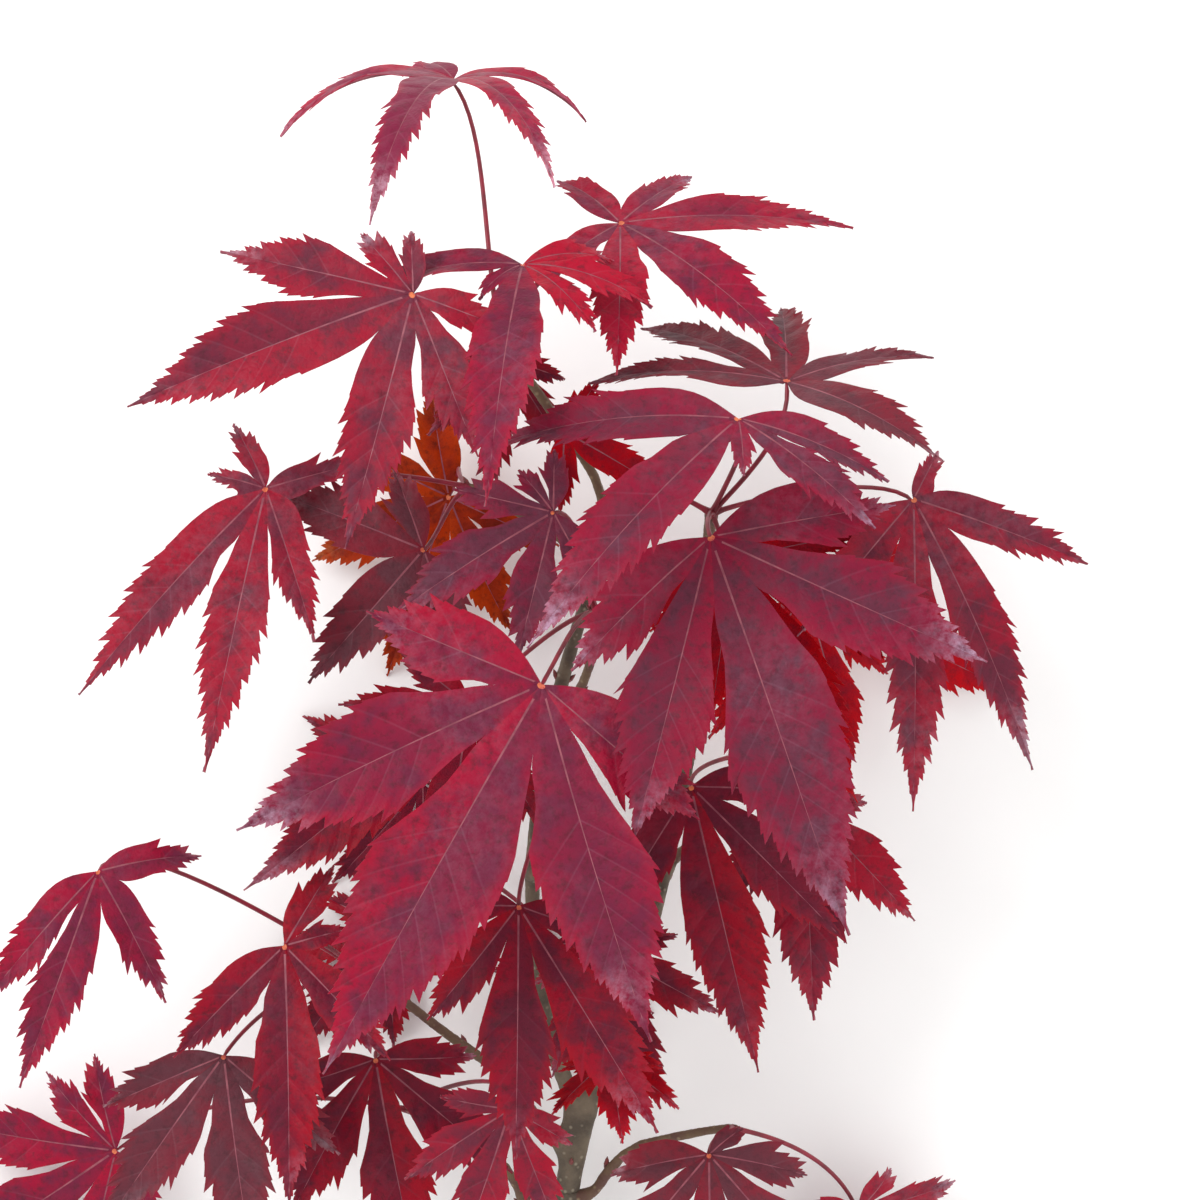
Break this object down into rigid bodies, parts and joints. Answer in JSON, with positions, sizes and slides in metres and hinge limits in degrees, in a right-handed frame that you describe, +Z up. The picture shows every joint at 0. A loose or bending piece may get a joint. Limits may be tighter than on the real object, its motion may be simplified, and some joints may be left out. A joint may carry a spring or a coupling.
{
  "type": "cut branch of a japanese maple tree",
  "caption": "Cut branch of a purple-leaved japanese maple tree, lying on the ground: a forked stem, slender twigs and drooping sprays of lobed, toothed leaves.",
  "frame": {"origin": "middle of the branch's outline seen from above, on the ground it lies on", "axes": "+Y along the branch from the cut end to the tip, +Z up, the side of the leaves that shows from above"},
  "size_m": [0.238, 0.2992, 0.1191],
  "materials": {
    "leaf": "satin wine red to purple brown leaf",
    "bark": "thin grey brown to olive bark",
    "stalk": "dark red leaf stalk"
  },
  "bodies": {
    "root": {"stem": "bark", "bough_left": "bark", "bough_right": "bark", "twig_top": "bark", "twig_left": "bark", "twig_centre": "bark", "twig_right": "bark", "twig_lower": "bark", "twig_under": "bark", "twig_low_left": "bark", "twig_base_left": "bark", "twig_base_right": "bark", "spray_top": "leaf", "spray_left": "leaf", "spray_centre": "leaf", "spray_crown": "leaf", "spray_right": "leaf", "spray_lower": "leaf", "spray_under": "leaf", "spray_low_left": "leaf", "spray_base_left": "leaf", "spray_base_right": "leaf"}
  },
  "joints": []
}
